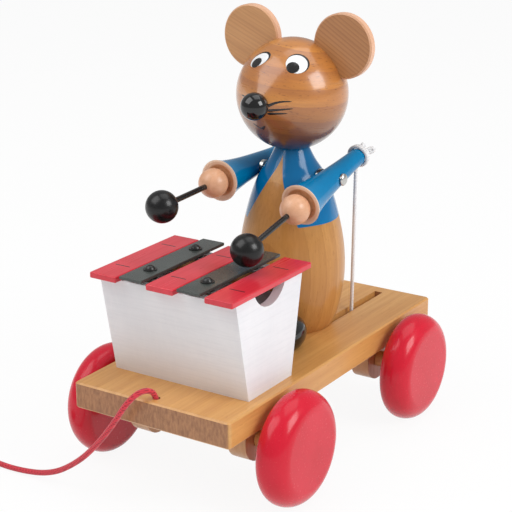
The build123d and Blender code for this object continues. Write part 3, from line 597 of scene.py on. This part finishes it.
# ------------------------------------------------------------------ face
HEAD = mm(*HEAD_MIDDLE)
MUZZLE_TURN = math.radians(35)  # where the muzzle's cone leaves the ball, from straight ahead
MUZZLE_REACH = 32.3  # its tip, ahead of the head's middle
MUZZLE_R = 5.6  # its radius there
PAINT_THICK = 0.15
OVAL_GRID = 20
STROKE_LONG = 16
STROKE_WIDE = 3
STROKE_LIFT = 0.05
LID_LIFT = 0.04
WHITE_LIFT = 0.07
PUPIL_LIFT = 0.1
PUPIL_WIDE = 3.4
WHISKER_WIDTHS = (1.5, 0.5)
LID_SHIFT = (0.5, 0.4, 0.7)
LID_WIDER = 0.45
LID_HIGHER = 0.35


def on_head(point, lift):
    """The place lift above the head's surface in point's direction from its middle, in mm."""
    direction = Vector(point).normalized()
    ahead = -direction.y
    off = math.sqrt(max(0.0, 1 - ahead * ahead))
    reach = HEAD_R
    if ahead > 0 and math.atan2(off, ahead) < MUZZLE_TURN:
        slope = off / ahead
        start_a, start_r = HEAD_R * math.cos(MUZZLE_TURN), HEAD_R * math.sin(MUZZLE_TURN)
        run, fall = MUZZLE_REACH - start_a, start_r - MUZZLE_R
        part = (start_r - start_a * slope) / (fall + run * slope)
        reach = (start_a + part * run) / ahead
    return HEAD + direction * (reach + lift) * MM


def film(piece):
    """Gives a painted patch a little thickness, sunk into the wood."""
    skin = piece.modifiers.new("film", "SOLIDIFY")
    skin.thickness = PAINT_THICK * MM
    skin.offset = -1
    return piece


def face_normals_out(shape):
    """Turns a patch's faces away from the head's middle."""
    shape.normal_update()
    for face in shape.faces:
        if face.normal.dot(face.calc_center_median() - HEAD) < 0:
            face.normal_flip()


def oval(name, centre, half_wide, half_high, turn, material, lift):
    """Painted oval on the head, round the direction of centre."""
    out = Vector(centre).normalized()
    right = Vector((-out.y, out.x, 0)).normalized()
    up = out.cross(right)
    shape = bmesh.new()
    bmesh.ops.create_grid(shape, x_segments=OVAL_GRID, y_segments=OVAL_GRID, size=1.0)
    for vert in shape.verts:
        x, y = vert.co.x, vert.co.y
        u, v = x * math.sqrt(1 - y * y / 2), y * math.sqrt(1 - x * x / 2)
        u, v = u * half_wide, v * half_high
        a = u * math.cos(turn) - v * math.sin(turn)
        b = u * math.sin(turn) + v * math.cos(turn)
        vert.co = on_head(out * HEAD_R + right * a + up * b, lift)
    face_normals_out(shape)
    piece = add_mesh(name, shape, "chassis")
    return film(paint(piece, material))


def stroke(name, path, widths, material):
    """Brush stroke on the head through three points, tapering from widths[0] to widths[1]."""
    first, middle, last = (Vector(p) for p in path)
    shape = bmesh.new()
    bmesh.ops.create_grid(shape, x_segments=STROKE_LONG, y_segments=STROKE_WIDE, size=1.0)
    for vert in shape.verts:
        t = (vert.co.x + 1) / 2
        bend = middle * 2 - (first + last) / 2
        spot = first * (1 - t) ** 2 + bend * 2 * t * (1 - t) + last * t * t
        run = (bend - first) * (1 - t) + (last - bend) * t
        across = run.cross(spot).normalized()
        wide = widths[0] * (1 - t) + widths[1] * t
        swell = min(1.0, 6 * t + 0.35, 6 * (1 - t) + 0.35)
        vert.co = on_head(spot + across * vert.co.y * wide * swell / 2, STROKE_LIFT)
    face_normals_out(shape)
    piece = add_mesh(name, shape, "chassis")
    return film(paint(piece, material))


def paint_face():
    white = gloss_paint("eye_white", "#EDEFF2", "#F7F8FA", 0.2, 0.4, 0.02)
    black = gloss_paint("brush_black", "#0E0B0B", "#151112", 0.25, 0.4, 0.02)
    brown = gloss_paint("brush_brown", "#2A1512", "#331B17", 0.3, 0.3, 0.02)
    eyes = (
        ("left", (13.2, -17.1, 19.7), (12.2, -19.2, 18.0), (5.8, 5.6), 0.1, 3.2),
        ("right", (-7.7, -19.9, 20.2), (-8.5, -20.9, 18.8), (5.9, 4.2), 0.6, 2.9),
    )
    for side, centre, pupil, (wide, high), turn, pupil_high in eyes:
        lid = Vector(centre) + Vector(LID_SHIFT)
        oval(f"eye_lid_{side}", lid, wide + LID_WIDER, high + LID_HIGHER, turn, black, LID_LIFT)
        oval(f"eye_white_{side}", centre, wide, high, turn, white, WHITE_LIFT)
        oval(f"eye_pupil_{side}", pupil, PUPIL_WIDE, pupil_high, turn, black, PUPIL_LIFT)
    whiskers = (
        ("high", (4.4, -29, -0.4), (9.0, -27.6, 1.7), (15.2, -24.9, 2.1)),
        ("middle", (4.2, -29, -2.3), (9.6, -27.5, -2.0), (16.0, -24.8, -1.5)),
        ("low", (4.2, -29, -3.9), (8.6, -27.9, -4.0), (13.4, -26.0, -4.0)),
    )
    for row, *path in whiskers:
        for side, way in (("left", 1), ("right", -1)):
            stroke(f"whisker_{row}_{side}", [(x * way, y, z) for x, y, z in path],
                   WHISKER_WIDTHS, black)
    stroke("mouth_line", ((-7.4, -26.2, -11.6), (-5.0, -26.4, -13.2), (-1.6, -26.0, -14.0)),
           (0.7, 1.3), brown)
    stroke("mouth_corner", ((-2.0, -26.0, -14.2), (-1.0, -26.5, -13.2), (0.6, -27.1, -11.7)),
           (2.2, 1.0), brown)


paint_face()

# ------------------------------------------------------------------ strings
STRING_R = 0.8  # of its collision shape, which sets where it starts and ends
STRING_SWELL = 1.4  # how much thicker it is drawn
STRANDS = 3
STRAND_DEPTH = 0.1  # as a share of its radius
STRING_SIDES = 15
STRING_STEPS = 260
STRING_TURNS = 20

# Knot places are given ahead of the shoulder and above it, along the arm, in mm
KNOT_R = 0.95  # of the string that it is tied in
KNOT_SIZE = 0.95
KNOT_DEPTH = 1.3
KNOT_MIDDLE = (-33.4, -0.5)
KNOT_POINTS = 24
WRAP = ((-25.2, -5.2), (-28.5, -5.4), (-31.6, -3.6), (-32.0, -0.5), (-31.2, 3.0), (-29.9, 4.3))
RINGS = ((-29.8, 5.5), (-28.1, 5.8))  # place ahead of the shoulder, and radius
RING_POINTS = 12
EAR_UP = ((-33.2, 0.6), (-32.4, 2.6), (-31.6, 4.6), (-33.8, 5.4), (-35.0, 3.2), (-34.0, 1.0))
EAR_UP_ACROSS = 0.6
EAR_BACK = (  # with a third number, outwards from the body
    (-34.2, 0.2, 0),
    (-36.4, 0.8, 2),
    (-38.6, 1.6, 4),
    (-38.4, -0.6, 5),
    (-36.2, -1.6, 2.6),
    (-34.4, -0.8, 0),
)


def on_arm(side, s, n, across=0.0):
    """A point s ahead of the shoulder along the arm, n above it and across towards +X, in mm."""
    way, droop = ARMS[side]
    turn = math.radians(droop)
    ahead = Vector((0, -math.cos(turn), -math.sin(turn)))
    above = Vector((0, -math.sin(turn), math.cos(turn)))
    pivot = Vector((way * SHOULDER[0], *SHOULDER[1:]))
    return (pivot + ahead * s + above * n + Vector((across, 0, 0))) * MM


def twisted_string(side):
    """Three-strand string from the crank's loop up to the arm."""
    low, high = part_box(f"drive_string_{side}")
    way = ARMS[side][0]
    inset = STRING_R * MM
    inner, outer = (low.x, high.x) if way > 0 else (high.x, low.x)
    bottom = Vector((inner + inset * way, high.y - inset, low.z))
    top = Vector((outer - inset * way, low.y + inset, high.z))
    run = top - bottom
    shape = bmesh.new()
    bmesh.ops.create_circle(shape, segments=STRING_SIDES, radius=STRING_SWELL * STRING_R * MM)
    for vert in shape.verts:
        angle = math.atan2(vert.co.y, vert.co.x)
        vert.co *= 1 - STRAND_DEPTH + STRAND_DEPTH * math.cos(STRANDS * angle)
    bmesh.ops.rotate(shape, verts=shape.verts, cent=(0, 0, 0),
                     matrix=run.to_track_quat("Z", "X").to_matrix())
    bmesh.ops.translate(shape, verts=shape.verts, vec=bottom)
    bmesh.ops.spin(shape, geom=shape.edges[:], cent=bottom, axis=run.normalized(),
                   dvec=run / STRING_STEPS, angle=STRING_TURNS * math.tau, steps=STRING_STEPS,
                   use_merge=False)
    bmesh.ops.holes_fill(shape, edges=[e for e in shape.edges if e.is_boundary])
    bmesh.ops.recalc_face_normals(shape, faces=shape.faces)
    piece = add_mesh(f"string_{side}", shape)
    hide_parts(f"drive_string_{side}")
    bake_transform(piece)
    return paint(piece, white_thread)


def string_knot(side):
    """Knot with two short ears behind the sleeve, and the loops round the sleeve's end."""
    data = cord_curve(f"knot_{side}", KNOT_R * MM, 10)
    middle_s, middle_n = KNOT_MIDDLE
    trefoil = []
    for i in range(KNOT_POINTS):
        t = math.tau * i / KNOT_POINTS
        u = math.sin(t) + 2 * math.sin(2 * t)
        v = math.cos(t) - 2 * math.cos(2 * t)
        w = -math.sin(3 * t)
        trefoil.append(on_arm(side, middle_s + KNOT_SIZE * v, middle_n + KNOT_SIZE * u,
                              KNOT_SIZE * w * KNOT_DEPTH))
    nurbs_line(data, trefoil, closed=True, order=4)
    nurbs_line(data, [on_arm(side, s, n) for s, n in WRAP], order=4)
    nurbs_line(data, [on_arm(side, s, n, EAR_UP_ACROSS) for s, n in EAR_UP], order=4)
    for s, reach in RINGS:
        ring = [on_arm(side, s, reach * math.cos(t), reach * math.sin(t))
                for t in (math.tau * i / RING_POINTS for i in range(RING_POINTS))]
        nurbs_line(data, ring, closed=True, order=4)
    ear_back = [on_arm(side, s, n, x * ARMS[side][0]) for s, n, x in EAR_BACK]
    nurbs_line(data, ear_back, order=4)
    piece = add_object(f"knot_{side}", mesh_of_curve(data), f"{side}_arm")
    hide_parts(f"{side}_string_knot")
    return paint(piece, white_thread)


for side in ARMS:
    twisted_string(side)
    string_knot(side)


# ------------------------------------------------------------------ floor and light
PALE = (0.9, 0.9, 0.9, 1.0)
WHITE = (1, 1, 1, 1)
FLOOR_R = 8.0  # metres
FLOOR_OWN_LIGHT = 0.92
LIT_SPOT = (0, 0, 120)


def pale_surface(name, tone, own_light):
    """Matt pale surface that the camera and gloss see nearly white, with its shadows kept."""
    material = bpy.data.materials.new(name)
    material.use_nodes = True
    tree = material.node_tree
    shader = tree.nodes["Principled BSDF"]
    shader.inputs["Roughness"].default_value = 0.9
    shader.inputs["Base Color"].default_value = tone
    shader.inputs["Specular IOR Level"].default_value = 0.1
    glow = tree.nodes.new("ShaderNodeEmission")
    glow.inputs["Color"].default_value = WHITE
    seen = tree.nodes.new("ShaderNodeLightPath")
    either = tree.nodes.new("ShaderNodeMath")
    either.operation = "MAXIMUM"
    tree.links.new(seen.outputs["Is Camera Ray"], either.inputs[0])
    tree.links.new(seen.outputs["Is Glossy Ray"], either.inputs[1])
    share = tree.nodes.new("ShaderNodeMath")
    share.operation = "MULTIPLY"
    share.inputs[1].default_value = own_light
    tree.links.new(either.outputs[0], share.inputs[0])
    join = tree.nodes.new("ShaderNodeMixShader")
    tree.links.new(share.outputs[0], join.inputs["Fac"])
    tree.links.new(shader.outputs[0], join.inputs[1])
    tree.links.new(glow.outputs[0], join.inputs[2])
    tree.links.new(join.outputs[0], tree.nodes["Material Output"].inputs["Surface"])
    return material


def put_floor():
    shape = bmesh.new()
    bmesh.ops.create_circle(shape, cap_ends=True, segments=96, radius=FLOOR_R)
    floor = add_mesh("floor", shape, smooth=False)
    paint(floor, pale_surface("pale_floor", PALE, FLOOR_OWN_LIGHT))


def put_world(strength):
    """Even light of this strength, which the camera sees as plain white."""
    world = bpy.data.worlds.new("studio")
    bpy.context.scene.world = world
    world.use_nodes = True
    tree = world.node_tree
    light = tree.nodes["Background"]
    light.inputs["Color"].default_value = WHITE
    light.inputs["Strength"].default_value = strength
    white = tree.nodes.new("ShaderNodeBackground")
    white.inputs["Color"].default_value = WHITE
    white.inputs["Strength"].default_value = 1.0
    seen = tree.nodes.new("ShaderNodeLightPath")
    join = tree.nodes.new("ShaderNodeMixShader")
    tree.links.new(seen.outputs["Is Camera Ray"], join.inputs["Fac"])
    tree.links.new(light.outputs[0], join.inputs[1])
    tree.links.new(white.outputs[0], join.inputs[2])
    tree.links.new(join.outputs[0], tree.nodes["World Output"].inputs["Surface"])


def soft_lamp(name, azimuth, height, distance, size, watts):
    """Square soft box seen from the toy at azimuth, from -Y towards +X, and height, in degrees."""
    lamp = bpy.data.lights.new(name, "AREA")
    lamp.shape = "SQUARE"
    lamp.size = size
    lamp.energy = watts
    thing = bpy.data.objects.new(name, lamp)
    bpy.context.scene.collection.objects.link(thing)
    turn, rise = math.radians(azimuth), math.radians(height)
    middle = mm(*LIT_SPOT)
    away = Vector((math.sin(turn) * math.cos(rise), -math.cos(turn) * math.cos(rise),
                   math.sin(rise)))
    aim(thing, middle + away * distance, middle)


put_floor()
put_world(0.42)
soft_lamp("right_box", 93, 32, 1.2, 0.6, 7.5)
soft_lamp("front_box", -38, 50, 1.3, 1.0, 8)
soft_lamp("top_box", 150, 75, 1.4, 1.0, 4.5)

bpy.context.scene.view_settings.view_transform = "Standard"
